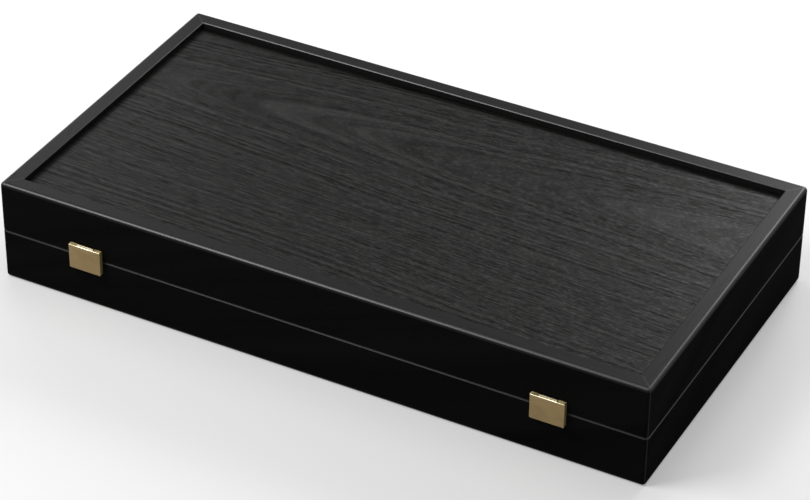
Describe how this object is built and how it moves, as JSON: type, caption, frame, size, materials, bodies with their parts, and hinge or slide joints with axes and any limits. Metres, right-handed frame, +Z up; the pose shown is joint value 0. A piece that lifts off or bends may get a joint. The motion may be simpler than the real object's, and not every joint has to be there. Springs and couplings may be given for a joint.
{
  "type": "backgammon board",
  "caption": "Folding wooden backgammon board that closes to a shallow case, with recessed panels, inlaid points, brass hinges and flap latches, checkers and dice.",
  "frame": {"origin": "on the surface that the closed case stands on, under its middle", "axes": "+X along the case, -Y towards the side with the latches, +Z up out of the lid's panel"},
  "size_m": [0.48, 0.2652, 0.0764],
  "materials": {
    "black_rail": "satin black lacquered wood, fine grain",
    "black_veneer": "black stained open-pored oak veneer, silk matt",
    "field_veneer": "black stained wood veneer, silk matt",
    "light_inlay": "natural maple veneer, satin",
    "dark_inlay": "walnut veneer, satin",
    "light_checker": "turned maple, satin lacquer",
    "dark_checker": "turned dark walnut, satin lacquer",
    "latch_brass": "pressed brass, brushed satin",
    "hinge_brass": "pressed brass, satin",
    "screw_brass": "turned brass, satin",
    "dice": "polished ivory-coloured resin, dark pips",
    "cube": "polished ivory-coloured resin, dark numbers"
  },
  "bodies": {
    "lower_half": {"lower_front_rail": "black_rail", "lower_back_rail": "black_rail", "lower_left_rail": "black_rail", "lower_right_rail": "black_rail", "lower_panel": "black_veneer", "lower_field": "field_veneer", "lower_light_points": "light_inlay", "lower_dark_points": "dark_inlay", "lower_hinge_screws": "screw_brass", "left_hinge_lower_leaf": "hinge_brass", "left_hinge_pin": "hinge_brass", "left_latch_catch": "latch_brass", "right_hinge_lower_leaf": "hinge_brass", "right_hinge_pin": "hinge_brass", "right_latch_catch": "latch_brass", "latch_catch_screws": "screw_brass", "light_checkers": "light_checker", "dark_checkers": "dark_checker", "die_1": "dice", "die_2": "dice", "doubling_cube": "cube"},
    "upper_half": {"upper_front_rail": "black_rail", "upper_back_rail": "black_rail", "upper_left_rail": "black_rail", "upper_right_rail": "black_rail", "upper_panel": "black_veneer", "upper_field": "field_veneer", "upper_light_points": "light_inlay", "upper_dark_points": "dark_inlay", "upper_hinge_screws": "screw_brass", "left_hinge_upper_leaf": "hinge_brass", "right_hinge_upper_leaf": "hinge_brass", "left_latch_base": "latch_brass", "right_latch_base": "latch_brass", "latch_base_screws": "screw_brass"},
    "left_latch": {"left_latch_flap": "latch_brass", "left_latch_pin": "latch_brass"},
    "right_latch": {"right_latch_flap": "latch_brass", "right_latch_pin": "latch_brass"}
  },
  "joints": [
    {"name": "lid_hinge", "type": "hinge", "parent": "lower_half", "child": "upper_half", "pos_m": [0, 0.1304, 0.0382], "axis": [-1, 0, 0], "range_deg": [0, 180]},
    {"name": "left_latch_pivot", "type": "hinge", "parent": "upper_half", "child": "left_latch", "pos_m": [-0.172, -0.13055, 0.0464], "axis": [-1, 0, 0], "range_deg": [0, 90]},
    {"name": "right_latch_pivot", "type": "hinge", "parent": "upper_half", "child": "right_latch", "pos_m": [0.172, -0.13055, 0.0464], "axis": [-1, 0, 0], "range_deg": [0, 90]}
  ]
}
